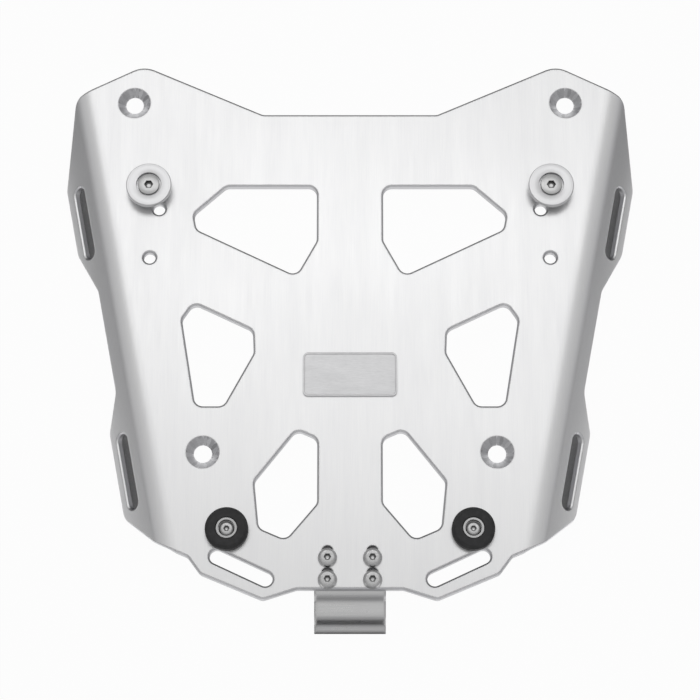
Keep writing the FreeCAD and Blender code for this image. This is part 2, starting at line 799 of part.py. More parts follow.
# Edges of the strip at each bend: inside the bend or around it.
inner, outer = [], []
for i in range(1, count):
    rolls_over = ways[i - 1].cross(ways[i]).z > 0
    for spot, is_inner in ((spots[i], not rolls_over), (lower[i], rolls_over)):
        for n, edge in enumerate(strip.Shape.Edges, start=1):
            centre = edge.CenterOfMass
            if math.hypot(centre.y - spot.x, centre.z - spot.y) < 0.01:
                (inner if is_inner else outer).append((n, centre))
tight = hook.newObject("PartDesign::Fillet", "inner_bends")
tight.Base = (strip, ["Edge%d" % n for n, centre in inner])
tight.setExpression("Radius", "Sizes.hook_bend")
doc.recompute()
names = []
for n, edge in enumerate(tight.Shape.Edges, start=1):
    if any(edge.CenterOfMass.distanceToPoint(centre) < 0.01 for m, centre in outer):
        names.append("Edge%d" % n)
wide = hook.newObject("PartDesign::Fillet", "outer_bends")
wide.Base = (tight, names)
wide.setExpression("Radius", "Sizes.hook_bend + Sizes.hook_t")
hook.Tip = wide
doc.recompute()
eyes = new_sketch(hook, "screw_holes", "XY_Plane")
for row in ("front", "rear"):
    for sign in ("", "-"):
        draw_circle(eyes, sign + "Sizes.hook_bolt_x", "Sizes.hook_bolt_%s_y" % row,
                    "Sizes.m5_d + 2 * Sizes.play")
hook.Tip = cut_through(hook, eyes, "holes")

# Four screws with lock nuts clamp the catch through the slots of the plate.
for row in ("front", "rear"):
    for side, sign in SIDES:
        x, y = sign + "Sizes.hook_bolt_x", "Sizes.hook_bolt_%s_y" % row
        button_screw("hook_screw_%s_%s" % (row, side), "m5", x, y, TOP)
        lock_nut("hook_nut_%s_%s" % (row, side), "m5", x, y, "-Sizes.hook_t")

# The bare name plate: a small pressed plate with a raised rim round a sunk field.
badge = piece("name_plate")


def rectangle(x, y):
    """Corners of a centred rectangle from two expressions for its half sizes."""
    return [(x, "-(%s)" % y), (x, y), ("-(%s)" % x, y), ("-(%s)" % x, "-(%s)" % y)]


def upright_corners(feature, x, y):
    """Names of the upright edges at the corners of a centred rectangle."""
    names = []
    for n, edge in enumerate(feature.Shape.Edges, start=1):
        spot = edge.CenterOfMass
        if abs(abs(spot.x) - x) < 0.01 and abs(abs(spot.y) - y) < 0.01:
            names.append("Edge%d" % n)
    return names


def rounded_corners(feature, name, radius, x, y):
    """Round the upright corners of a rectangle in the name plate."""
    soft = badge.newObject("PartDesign::Fillet", name)
    soft.Base = (feature, upright_corners(feature, value_of(badge, x), value_of(badge, y)))
    soft.setExpression("Radius", radius)
    badge.Tip = soft
    doc.recompute()


half_x, half_y = "Sizes.name_plate_x / 2", "Sizes.name_plate_y / 2"
field_x = half_x + " - Sizes.name_plate_rim"
field_y = half_y + " - Sizes.name_plate_rim"
border = new_sketch(badge, "border", "XY_Plane")
draw_polygon(border, rectangle(half_x, half_y))
leaf = badge.newObject("PartDesign::Pad", "leaf")
leaf.Profile = border
leaf.setExpression("Length", "Sizes.name_plate_t")
border.Visibility = False
doc.recompute()
rounded_corners(leaf, "leaf_corners", "Sizes.name_plate_round", half_x, half_y)
field = new_sketch(badge, "field", "XY_Plane")
field.setExpression("AttachmentOffset.Base.z", "Sizes.name_plate_t")
draw_polygon(field, rectangle(field_x, field_y))
sunk = badge.newObject("PartDesign::Pocket", "sunk_field")
sunk.Profile = field
sunk.setExpression("Length", "Sizes.name_plate_sink")
field.Visibility = False
doc.recompute()
rounded_corners(sunk, "field_corners", "Sizes.name_plate_round - Sizes.name_plate_rim",
                field_x, field_y)
place(badge, "0", "Sizes.name_plate_centre_y", TOP)

# Check every object, then write each body as its own part.
doc.recompute()
for item in doc.Objects:
    if "Invalid" in item.State or "Error" in item.State:
        raise ValueError("%s is in state %s" % (item.Name, item.State))
bodies = [item for item in doc.Objects if item.TypeId == "PartDesign::Body"]
for body in bodies:
    shape = body.Shape
    if shape.isNull() or not shape.isValid() or len(shape.Solids) != 1:
        raise ValueError(body.Label)
    shape.exportStep("parts/%s.step" % body.Label)
print(len(bodies), "parts written")
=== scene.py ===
# %% [markdown]
# # A motorcycle luggage rack, dressed for its picture
#
# The solids of the rack come ready made, as a frame that is packed beside this script.
# This lesson gives them their metal and rubber, adds the few forms that are too fine for
# the solids, and sets up the studio. Every length is in metres, so a millimetre is 0.001.
# X points to the right, Y to the front of the motorcycle and Z up, square to the plate.

# %% Load the solids
import math

import bmesh
import bpy
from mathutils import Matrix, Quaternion, Vector


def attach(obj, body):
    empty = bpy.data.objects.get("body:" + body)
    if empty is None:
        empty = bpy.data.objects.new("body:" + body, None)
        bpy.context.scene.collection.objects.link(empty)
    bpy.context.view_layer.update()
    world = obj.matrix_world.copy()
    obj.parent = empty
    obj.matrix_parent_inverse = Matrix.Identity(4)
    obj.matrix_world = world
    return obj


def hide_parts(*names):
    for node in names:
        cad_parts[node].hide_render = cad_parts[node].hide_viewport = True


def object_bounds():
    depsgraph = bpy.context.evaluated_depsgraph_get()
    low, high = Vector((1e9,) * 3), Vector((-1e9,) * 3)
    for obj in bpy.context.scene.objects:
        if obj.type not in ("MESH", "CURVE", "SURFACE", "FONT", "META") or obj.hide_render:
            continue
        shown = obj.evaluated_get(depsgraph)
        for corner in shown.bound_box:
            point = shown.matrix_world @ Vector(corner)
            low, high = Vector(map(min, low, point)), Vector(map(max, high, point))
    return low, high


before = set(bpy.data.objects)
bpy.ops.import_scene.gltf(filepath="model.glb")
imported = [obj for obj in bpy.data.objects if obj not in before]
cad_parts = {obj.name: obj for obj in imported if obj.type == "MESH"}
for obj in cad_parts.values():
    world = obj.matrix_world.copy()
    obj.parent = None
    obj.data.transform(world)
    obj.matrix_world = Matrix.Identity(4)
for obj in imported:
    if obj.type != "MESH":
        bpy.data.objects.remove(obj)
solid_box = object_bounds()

MM = 0.001
print("solids loaded:", len(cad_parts))

# %% [markdown]
# ## Colours and nodes
#
# A colour is chosen as a hex value, the way a colour picker shows it, but a shader works
# with linear light. One function turns the first into the second. Another small function
# adds a node, fills its sockets and sets its options, so that each material below reads
# as a short list of what it is made of.

# %% Helpers for colours and nodes
def colour(hex_value):
    """Linear colour, with an alpha of 1, of an sRGB hex value."""
    channels = []
    for start in (1, 3, 5):
        c = int(hex_value[start:start + 2], 16) / 255
        channels.append(c / 12.92 if c <= 0.04045 else ((c + 0.055) / 1.055) ** 2.4)
    return (*channels, 1.0)


def add(tree, kind, inputs=None, **options):
    """Add a node. An input is a plain value or another node's output."""
    node = tree.nodes.new(kind)
    for name, value in options.items():
        setattr(node, name, value)
    for key, value in (inputs or {}).items():
        if isinstance(value, bpy.types.NodeSocket):
            tree.links.new(value, node.inputs[key])
        else:
            node.inputs[key].default_value = value
    return node


def new_material(name):
    """An empty material, its node tree and its output node."""
    material = bpy.data.materials.new(name)
    material.use_nodes = True
    material.node_tree.nodes.clear()
    output = add(material.node_tree, "ShaderNodeOutputMaterial")
    return material, material.node_tree, output


def give(material, *names):
    """Put one material on the named pieces, in place of what they had."""
    for name in names:
        mesh = bpy.data.objects[name].data
        mesh.materials.clear()
        mesh.materials.append(material)
    print(material.name, "on", len(names), "pieces")


# %% [markdown]
# ## The camera
#
# The picture looks down on the plate, nearly square to it, and shows a little of the walls
# that face the tail. A camera that leans 18 degrees towards the tail gives that. It stands
# 1.3 m away with a long lens, so that the perspective is slight, and its picture is centred
# on the plate's upper face.

# %% Camera
target = Vector((0, -40.5 * MM, 4 * MM))
tilt = math.radians(18)
distance = 1.3
camera_data = bpy.data.cameras.new("camera")
camera = bpy.data.objects.new("camera", camera_data)
bpy.context.scene.collection.objects.link(camera)
camera.location = target + distance * Vector((0, -math.sin(tilt), math.cos(tilt)))
camera.rotation_euler = (tilt, 0, 0)
camera_data.sensor_width = 36
camera_data.lens = 133.7
camera_data.clip_start = 0.05
camera_data.clip_end = 20
bpy.context.scene.camera = camera
print("camera at", [round(c, 3) for c in camera.location])

# %% [markdown]
# ## The studio
#
# Bare metal has hardly any colour of its own: it shows its surroundings. A flat plate
# that should look bright needs a large bright area where it mirrors, which is above and
# in front of it. The folded sides mirror the horizon, so the horizon is kept grey, and
# two low grey cards beside the rack keep the white floor out of them, as photographers
# do. The world is a soft dome, bright overhead and grey at the horizon.

# %% World
world = bpy.data.worlds.new("studio_dome")
bpy.context.scene.world = world
world.use_nodes = True
tree = world.node_tree
tree.nodes.clear()
direction = add(tree, "ShaderNodeTexCoord").outputs["Generated"]
height = add(tree, "ShaderNodeSeparateXYZ", {0: direction}).outputs["Z"]
dome = add(tree, "ShaderNodeValToRGB", {0: height})
dome.color_ramp.interpolation = "EASE"
dome.color_ramp.elements[0].position = 0.05
dome.color_ramp.elements[0].color = (0.25, 0.25, 0.252, 1)
dome.color_ramp.elements[1].position = 0.90
dome.color_ramp.elements[1].color = (0.58, 0.58, 0.58, 1)
seen = add(tree, "ShaderNodeLightPath").outputs["Is Camera Ray"]
dome_light = add(tree, "ShaderNodeBackground", {"Color": dome.outputs[0], "Strength": 1.0})
backdrop = add(tree, "ShaderNodeBackground", {"Color": (1, 1, 1, 1), "Strength": 1.0})
both = add(tree, "ShaderNodeMixShader", {0: seen, 1: dome_light.outputs[0], 2: backdrop.outputs[0]})
add(tree, "ShaderNodeOutputWorld", {0: both.outputs[0]})
print("dome ready")

# %% [markdown]
# The floor is white paper. Most of what the camera sees of it is its own even white, and
# the rest is real light on it, which keeps a soft shadow under the rack.

# %% Paper floor
def flat_piece(name, corners):
    """One four-sided sheet of the studio."""
    mesh = bpy.data.meshes.new(name)
    mesh.from_pydata([Vector(c) for c in corners], [], [(0, 1, 2, 3)])
    piece = bpy.data.objects.new(name, mesh)
    bpy.context.scene.collection.objects.link(piece)
    return piece


floor_z = solid_box[0].z - 0.05 * MM
wide = 4
floor = flat_piece("paper_floor", [
    (-wide, -wide, floor_z), (wide, -wide, floor_z), (wide, wide, floor_z), (-wide, wide, floor_z)])
paper, tree, output = new_material("white_paper")
lit = add(tree, "ShaderNodeBsdfDiffuse", {"Color": colour("#FAFAFA")})
even = add(tree, "ShaderNodeEmission", {"Color": (1, 1, 1, 1), "Strength": 1.0})
path = add(tree, "ShaderNodeLightPath")
mirrored = add(tree, "ShaderNodeMath", {0: path.outputs["Is Camera Ray"], 1: path.outputs["Is Glossy Ray"]},
               operation="MAXIMUM")
through = add(tree, "ShaderNodeMath", {0: mirrored.outputs[0], 1: path.outputs["Is Transmission Ray"]},
              operation="MAXIMUM")
share = add(tree, "ShaderNodeMath", {0: through.outputs[0], 1: 0.95}, operation="MULTIPLY")
paper_mix = add(tree, "ShaderNodeMixShader", {0: share.outputs[0], 1: lit.outputs[0], 2: even.outputs[0]})
tree.links.new(paper_mix.outputs[0], output.inputs[0])
floor.data.materials.append(paper)
print("floor at", round(floor_z / MM, 2), "mm")

# %% [markdown]
# The cards are sheets of grey that only reflections show. Those at the sides give the
# bends and flanges their greys, dark at the foot and lighter above. A small one close
# behind the catch greys its two steep faces, the lower of them darkest, and a larger one
# behind everything lights the edges that face the tail.

# %% Grey cards
def card(name, foot, top, foot_mm, top_mm, corners):
    """A card that only the metal sees, in its reflections. It shades from one grey at its
    foot to another at its top, between two heights."""
    material, tree, output = new_material(name)
    place = add(tree, "ShaderNodeTexCoord").outputs["Object"]
    level = add(tree, "ShaderNodeSeparateXYZ", {0: place}).outputs["Z"]
    upward = add(tree, "ShaderNodeMapRange", {0: level, 1: foot_mm * MM, 2: top_mm * MM}).outputs[0]
    grey = add(tree, "ShaderNodeMix", {0: upward, 6: colour(foot), 7: colour(top)}, data_type="RGBA")
    glow = add(tree, "ShaderNodeEmission", {"Color": grey.outputs[2], "Strength": 1.0})
    tree.links.new(glow.outputs[0], output.inputs[0])
    sheet = flat_piece(name, corners)
    sheet.data.materials.append(material)
    sheet.visible_camera = False
    sheet.visible_diffuse = False
    sheet.visible_shadow = False


low, high = floor_z + 0.2 * MM, floor_z + 0.11
for side, name in ((-1, "card_left"), (1, "card_right")):
    x = side * 0.185
    leaning_x = x + side * 0.06
    card(name, "#6C6C6D", "#BEBEBF", -10, 50, [
        (x, -0.45, low), (x, 0.45, low), (leaning_x, 0.45, high), (leaning_x, -0.45, high)])
card("card_catch", "#303031", "#A0A0A1", -11.5, -6.5, [
    (-0.03, -0.189, low), (0.03, -0.189, low), (0.03, -0.196, 0.012), (-0.03, -0.196, 0.012)])
card("card_behind", "#9E9E9F", "#BEBEBF", 20, 200, [
    (-0.40, -0.50, 0.02), (0.40, -0.50, 0.02), (0.40, -0.56, 0.32), (-0.40, -0.56, 0.32)])
print("cards set up")

# %% [markdown]
# One large soft box hangs where the flat plate mirrors it for the camera: above and in
# front. Its long side is turned a little, so that the left of the plate is brighter.

# %% Soft box
lamp_data = bpy.data.lights.new("soft_box", "AREA")
lamp_data.shape = "RECTANGLE"
lamp_data.size = 1.15
lamp_data.size_y = 0.50
lamp_data.energy = 1.60
lamp = bpy.data.objects.new("soft_box", lamp_data)
bpy.context.scene.collection.objects.link(lamp)
lamp.location = (-0.06, 0.57, 1.45)
aim = (target - lamp.location).to_track_quat("-Z", "Y")
lamp.rotation_euler = (aim @ Quaternion((0, 0, 1), math.radians(-15))).to_euler()
print("soft box at", [round(c, 2) for c in lamp.location])

# %% [markdown]
# The rack stands on its folded ears. In the picture the strap slots in them are dark, while every other
# opening is white, because the floor seen through them lies in shade under the ears. A strip of grey felt is
# laid under each ear as painted shade, to stand for that shade. It belongs to the studio and not to the rack.

# %% Felt strips of painted shade
# The felt is painted shade: a grey sheet laid where the floor lies in shade under the ears.
shade_felt, tree, output = new_material("grey_felt_painted_shade")
shade_mottle = add(tree, "ShaderNodeTexNoise", {
    "Vector": add(tree, "ShaderNodeTexCoord").outputs["Object"], "Scale": 1 / (0.6 * MM), "Detail": 3.0})
shade_tone = add(tree, "ShaderNodeMix", {0: shade_mottle.outputs["Fac"], 6: colour("#7C7C7D"), 7: colour("#949495")},
            data_type="RGBA")
matt = add(tree, "ShaderNodeBsdfDiffuse", {"Color": shade_tone.outputs[2]})
tree.links.new(matt.outputs[0], output.inputs[0])
skew = math.radians(11)
half_length, half_width = 22.5 * MM, 9.5 * MM
for row, middle_x, middle_y in (("front", 0.1303, 0.0340), ("rear", 0.1048, -0.0995)):
    for side, word in ((-1, "left"), (1, "right")):
        along = Vector((side * math.sin(skew), math.cos(skew), 0)) * half_length
        across = Vector((math.cos(skew), -side * math.sin(skew), 0)) * half_width
        middle = Vector((side * middle_x, middle_y, floor_z + 0.04 * MM))
        strip = flat_piece("felt_%s_%s" % (row, word), [
            middle - along - across, middle - along + across, middle + along + across,
            middle + along - across])
        strip.data.materials.append(shade_felt)
print("felt strips ready")

# %% [markdown]
# ## Brushed aluminium
#
# The plate is cut from rolled aluminium sheet and brushed along its length with an
# abrasive belt. The belt leaves fine scratches a few tenths of a millimetre apart and a
# few centimetres long, which spread a reflection sideways. Noise stretched along Y draws
# them: a fine one for the scratches, a coarser one for the bands that a belt leaves, and
# a slow one for handling. The scratches are drawn a little coarser than the real ones, so
# that they show at this size of picture.

# %% Brushed aluminium
def brushed_metal(name, light, dark, across_mm, along_mm, rough, depth_mm, soft_mm, axis=0,
                  cut=None):
    """Metal with straight brushing; axis 0 brushes along Y and axis 1 along X. The shading
    rounds every edge over soft_mm. The cut function, where one is given, blends raw edges
    into the finish."""
    material, tree, output = new_material(name)
    place = add(tree, "ShaderNodeTexCoord").outputs["Object"]

    def streaks(wide, length):
        scale = [1 / (wide * MM), 1 / (length * MM), 1 / (wide * MM)]
        if axis == 1:
            scale[0], scale[1] = scale[1], scale[0]
        stretched = add(tree, "ShaderNodeMapping", {"Vector": place, "Scale": scale})
        return add(tree, "ShaderNodeTexNoise", {
            "Vector": stretched.outputs[0], "Scale": 1.0, "Detail": 3.0, "Roughness": 0.6})

    fine = streaks(across_mm, along_mm).outputs["Fac"]
    bands = streaks(across_mm * 14, along_mm * 6).outputs["Fac"]
    handled = add(tree, "ShaderNodeTexNoise", {
        "Vector": place, "Scale": 1 / (90 * MM), "Detail": 2.0}).outputs["Fac"]
    grain = add(tree, "ShaderNodeMapRange", {0: fine, 1: 0.3, 2: 0.7, 3: 0.0, 4: 1.0}).outputs[0]
    banding = add(tree, "ShaderNodeMapRange", {0: bands, 1: 0.3, 2: 0.7, 3: 0.0, 4: 1.0}).outputs[0]
    blend = add(tree, "ShaderNodeMix", {0: 0.35, 2: grain, 3: banding}, data_type="FLOAT")
    tone = add(tree, "ShaderNodeMix", {0: blend.outputs[0], 6: colour(dark), 7: colour(light)},
               data_type="RGBA")
    rough_here = add(tree, "ShaderNodeMapRange", {
        0: blend.outputs[0], 1: 0.0, 2: 1.0, 3: rough + 0.03, 4: rough - 0.02})
    rough_all = add(tree, "ShaderNodeMath", {
        0: rough_here.outputs[0],
        1: add(tree, "ShaderNodeMapRange", {0: handled, 1: 0.3, 2: 0.7, 3: -0.015, 4: 0.015}).outputs[0],
    }, operation="ADD")
    surface, roughness, height = tone.outputs[2], rough_all.outputs[0], fine
    normal = add(tree, "ShaderNodeBevel", {"Radius": soft_mm * MM}, samples=6).outputs[0]
    if cut:
        surface, roughness, height, normal = cut(tree, surface, roughness, height, normal)
    bump = add(tree, "ShaderNodeBump", {
        "Height": height, "Distance": depth_mm * MM, "Strength": 0.35, "Normal": normal})
    metal = add(tree, "ShaderNodeBsdfPrincipled", {
        "Base Color": surface, "Metallic": 1.0, "Roughness": roughness, "Normal": bump.outputs[0]})
    tree.links.new(metal.outputs[0], output.inputs[0])
    return material


# %% [markdown]
# The sheet was cut by a laser, which leaves the edges duller and darker than the skin.
# The mask has to know which way the skin faces: up on the flat, and turning to 45 degrees
# over the fold. It works out that direction from the distance across the fold and
# compares it with the way that the surface really faces: 1 is skin, about 0.7 the broken
# rim and 0 the cut wall. The rims of the folded part that face straight up are as bright
# as the skin in the picture, so they count as skin too.

# %% Where a point lies on the folded sheet
FOLD_X = 112.9 * MM
FOLD_ANGLE = math.radians(45)
OUTER_RADIUS, INNER_RADIUS = 14.5 * MM, 10.5 * MM
FOLD_LINE = (math.sin(skew), math.cos(skew), 0)
AWAY_FROM_FOLD = (math.cos(skew), -math.sin(skew), 0)


def folded_sheet(tree):
    """Sockets that say where a point lies on the sheet and how it faces. The left half is
    mirrored, so that everything is worked out on the right one."""
    place = add(tree, "ShaderNodeTexCoord").outputs["Object"]
    facing = add(tree, "ShaderNodeNewGeometry").outputs["True Normal"]
    x = add(tree, "ShaderNodeSeparateXYZ", {0: place}).outputs["X"]
    side = add(tree, "ShaderNodeMath", {0: x}, operation="SIGN").outputs[0]
    mirror = add(tree, "ShaderNodeCombineXYZ", {0: side, 1: 1.0, 2: 1.0}).outputs[0]
    place = add(tree, "ShaderNodeVectorMath", {0: place, 1: mirror}, operation="MULTIPLY").outputs[0]
    mirrored = add(tree, "ShaderNodeVectorMath", {0: facing, 1: mirror}, operation="MULTIPLY").outputs[0]
    from_fold = add(tree, "ShaderNodeVectorMath", {0: place, 1: (FOLD_X, 0, 0)}, operation="SUBTRACT")
    out = add(tree, "ShaderNodeVectorMath", {0: from_fold.outputs[0], 1: AWAY_FROM_FOLD},
              operation="DOT_PRODUCT").outputs["Value"]
    z = add(tree, "ShaderNodeSeparateXYZ", {0: facing}).outputs["Z"]
    up = add(tree, "ShaderNodeMath", {0: z, 1: 0.0}, operation="GREATER_THAN").outputs[0]
    most = math.sin(FOLD_ANGLE)
    bend_width = add(tree, "ShaderNodeMapRange", {
        0: up, 3: INNER_RADIUS * most, 4: OUTER_RADIUS * most}).outputs[0]
    sine = add(tree, "ShaderNodeMapRange", {0: out, 1: 0.0, 2: bend_width, 3: 0.0, 4: most})
    angle = add(tree, "ShaderNodeMath", {0: sine.outputs[0]}, operation="ARCSINE").outputs[0]
    skin_normal = add(tree, "ShaderNodeVectorRotate", {
        "Vector": (0, 0, 1), "Axis": FOLD_LINE, "Angle": angle}).outputs[0]
    return {"place": place, "facing": facing, "mirrored": mirrored, "mirror": mirror, "out": out,
            "up": up, "z": z, "skin_normal": skin_normal}


# %% [markdown]
# A cut edge is not one grey. On top of the duller grey of the cut, the walls and rims that face the tail are
# painted bright and those that face the front are painted dark, as painted light and shade, and the ones that
# face sideways lie between. A ramp over the facing along Y gives each its grey.

# %% Masks and greys of the cut edges, with painted light and shade by facing
# These greys paint light on the edges that face the tail and shade on those that face the front.
WALL_GREYS_PAINTED_LIGHT = ("#D2D2D4", "#A4A4A7", "#68686B")
RIM_GREYS_PAINTED_LIGHT = ("#F2F2F4", "#BCBCBE", "#2A2A2C")
EDGE_ROUGHNESS = 0.5


def edge_masks(tree, sheet):
    """Two masks: 1 where the surface is skin, and 1 where it is skin or broken rim."""
    along_skin = add(tree, "ShaderNodeVectorMath", {0: sheet["mirrored"], 1: sheet["skin_normal"]},
                     operation="DOT_PRODUCT").outputs["Value"]
    either_side = add(tree, "ShaderNodeMath", {0: along_skin}, operation="ABSOLUTE").outputs[0]
    level = add(tree, "ShaderNodeMath", {0: sheet["z"], 1: 0.93}, operation="GREATER_THAN").outputs[0]
    match = add(tree, "ShaderNodeMath", {0: either_side, 1: level}, operation="MAXIMUM").outputs[0]
    is_skin = add(tree, "ShaderNodeMapRange", {0: match, 1: 0.93, 2: 0.965}).outputs[0]
    is_rim = add(tree, "ShaderNodeMapRange", {0: match, 1: 0.45, 2: 0.55}).outputs[0]
    return is_skin, is_rim


def edge_colour_with_painted_light(tree, sheet, is_rim):
    """Greys of walls and rims by the way that they face: painted light on those that face the tail, painted
    shade on those that face the front.
    """
    y = add(tree, "ShaderNodeSeparateXYZ", {0: sheet["facing"]}).outputs["Y"]
    to_front = add(tree, "ShaderNodeMath", {0: y, 1: 0.5, 2: 0.5}, operation="MULTIPLY_ADD").outputs[0]
    greys = []
    for rear, middle, front in (WALL_GREYS_PAINTED_LIGHT, RIM_GREYS_PAINTED_LIGHT):
        ramp = add(tree, "ShaderNodeValToRGB", {0: to_front})
        ramp.color_ramp.elements[0].color = colour(rear)
        ramp.color_ramp.elements[1].color = colour(front)
        ramp.color_ramp.elements.new(0.5).color = colour(middle)
        greys.append(ramp.outputs[0])
    wall, rim = greys
    return add(tree, "ShaderNodeMix", {0: is_rim, 6: wall, 7: rim}, data_type="RGBA").outputs[2]


# %% [markdown]
# The cones of the four mounting holes were machined by a countersink. It leaves rings about the hole. Bright
# streaks that run down the cone are painted reflections, the highlight that a turned cone shows. Both are
# noise in one dimension: over the distance from the hole, and over the direction of the facing.

# %% Machined cones
FRONT_BOLT = (111.2 * MM, 93.5 * MM, 0)
REAR_BOLT = (72.8 * MM, -93.5 * MM, 0)
CONE_RADIUS = 8.35 * MM
CONE_ROUGHNESS = 0.36


def machined_cones(tree, sheet, is_rim):
    """A mask of the cones, their colour and their relief."""
    spot = add(tree, "ShaderNodeVectorMath", {0: sheet["place"], 1: (1, 1, 0)}, operation="MULTIPLY")
    reach = [add(tree, "ShaderNodeVectorMath", {0: spot.outputs[0], 1: hole},
                 operation="DISTANCE").outputs["Value"] for hole in (FRONT_BOLT, REAR_BOLT)]
    nearest = add(tree, "ShaderNodeMath", {0: reach[0], 1: reach[1]}, operation="MINIMUM").outputs[0]
    inside = add(tree, "ShaderNodeMath", {0: nearest, 1: CONE_RADIUS}, operation="LESS_THAN")
    cone = add(tree, "ShaderNodeMath", {0: inside.outputs[0], 1: is_rim}, operation="MULTIPLY").outputs[0]
    rings = add(tree, "ShaderNodeTexNoise", {"W": nearest, "Scale": 1 / (0.25 * MM), "Detail": 1.0},
                noise_dimensions="1D").outputs["Fac"]
    facing = add(tree, "ShaderNodeSeparateXYZ", {0: sheet["facing"]})
    around = add(tree, "ShaderNodeMath", {0: facing.outputs["Y"], 1: facing.outputs["X"]},
                 operation="ARCTAN2").outputs[0]
    # The streaks over the direction of the facing are painted reflections; the rings are the real turning
    # marks.
    streak_noise = add(tree, "ShaderNodeTexNoise", {"W": around, "Scale": 6.0, "Detail": 2.0},
                  noise_dimensions="1D").outputs["Fac"]
    painted_streaks = add(tree, "ShaderNodeMapRange", {0: streak_noise, 1: 0.35, 2: 0.65, 3: 0.0, 4: 0.6}).outputs[0]
    rings_and_painted_streaks = add(tree, "ShaderNodeMath", {0: rings, 1: 0.4, 2: painted_streaks}, operation="MULTIPLY_ADD").outputs[0]
    turned = add(tree, "ShaderNodeMix", {0: rings_and_painted_streaks, 6: colour("#A2A2A4"), 7: colour("#F2F2F4")},
                 data_type="RGBA").outputs[2]
    relief = add(tree, "ShaderNodeMath", {0: rings, 1: 3.0}, operation="MULTIPLY").outputs[0]
    return cone, turned, relief


# %% [markdown]
# The bend of a folded sheet starts slowly: the skin leans a little before the fold, and
# leans less than a plain arc until it comes close to the flange. The solid has the plain
# arc, so the difference between the two directions is added to the shading normal.

# %% A slow bend
def slow_bend(tree, sheet, is_skin, normal):
    """The normal, with the slow start of the bend in the upper skin."""
    into = add(tree, "ShaderNodeMapRange", {
        0: sheet["out"], 1: -1.5 * MM, 2: OUTER_RADIUS * math.sin(FOLD_ANGLE)}).outputs[0]
    slow = add(tree, "ShaderNodeMath", {0: into, 1: 1.6}, operation="POWER").outputs[0]
    angle = add(tree, "ShaderNodeMath", {0: slow, 1: FOLD_ANGLE}, operation="MULTIPLY").outputs[0]
    wanted = add(tree, "ShaderNodeVectorRotate", {"Vector": (0, 0, 1), "Axis": FOLD_LINE, "Angle": angle})
    change = add(tree, "ShaderNodeVectorMath", {0: wanted.outputs[0], 1: sheet["skin_normal"]},
                 operation="SUBTRACT")
    where = add(tree, "ShaderNodeMath", {0: is_skin, 1: sheet["up"]}, operation="MULTIPLY").outputs[0]
    change = add(tree, "ShaderNodeVectorMath", {0: change.outputs[0], "Scale": where}, operation="SCALE")
    leaning = add(tree, "ShaderNodeVectorMath", {0: change.outputs[0], 1: sheet["mirror"], 2: normal},
                  operation="MULTIPLY_ADD")
    return add(tree, "ShaderNodeVectorMath", {0: leaning.outputs[0]}, operation="NORMALIZE").outputs[0]


# %% [markdown]
# Now the parts come together. A little of the skin beside an edge is painted darker too, as painted shade
# where the edge rounds away from the light: the softened normal leans away from the true one there, which
# gives the mask.

# %% Skin, rims, walls and cones in one
def cut_edges(tree, surface, roughness, height, normal):
    """Blend the raw edges and the cones into the skin's colour, roughness, relief and normal."""
    sheet = folded_sheet(tree)
    is_skin, is_rim = edge_masks(tree, sheet)
    cone, turned, relief = machined_cones(tree, sheet, is_rim)
    edge = edge_colour_with_painted_light(tree, sheet, is_rim)
    edge = add(tree, "ShaderNodeMix", {0: cone, 6: edge, 7: turned}, data_type="RGBA").outputs[2]
    edge_rough = add(tree, "ShaderNodeMix", {0: cone, 2: EDGE_ROUGHNESS, 3: CONE_ROUGHNESS},
                     data_type="FLOAT").outputs[0]
    straight = add(tree, "ShaderNodeVectorMath", {0: normal, 1: sheet["facing"]},
                   operation="DOT_PRODUCT").outputs["Value"]
    # Painted shade: the skin is darkened where the softened normal leans away beside an edge.
    painted_edge_shade = add(tree, "ShaderNodeMapRange", {0: straight, 1: 0.93, 2: 0.998, 3: 0.8, 4: 0.0})
    surface = add(tree, "ShaderNodeMix", {0: painted_edge_shade.outputs[0], 6: surface, 7: colour("#8E8E90")},
                  data_type="RGBA").outputs[2]
    surface = add(tree, "ShaderNodeMix", {0: is_skin, 6: edge, 7: surface}, data_type="RGBA").outputs[2]
    roughness = add(tree, "ShaderNodeMix", {0: is_skin, 2: edge_rough, 3: roughness},
                    data_type="FLOAT").outputs[0]
    height = add(tree, "ShaderNodeMix", {0: cone, 2: height, 3: relief}, data_type="FLOAT").outputs[0]
    return surface, roughness, height, slow_bend(tree, sheet, is_skin, normal)


plate_metal = brushed_metal("brushed_aluminium", "#F4F4F4", "#EEEEEF", 0.45, 22, 0.34, 0.004, 0.9,
                            cut=cut_edges)
give(plate_metal, "rack_plate")

# %% [markdown]
# The small plate in the middle is pressed from thin aluminium and only satin finished, so
# it looks quieter and greyer than the sheet round it. Its field is bare.

# %% Bare name plate
leaf_metal = brushed_metal("satin_aluminium_leaf", "#DCDCDD", "#CBCBCC", 0.35, 3.0, 0.34, 0.006, 0.35, axis=1)
give(leaf_metal, "name_plate")

# %% [markdown]
# ## Turned metal
#
# The discs, the cups and the low screw heads were turned on a lathe, which leaves fine
# rings about their axis. They are hardly seen one by one, but they soften what the metal
# mirrors. The rings follow the distance from the middle of each piece, taken from its own
# box, so one material serves left and right. Real ones lie 0.1 mm apart. They are drawn
# three to five times as coarse, so that they show.

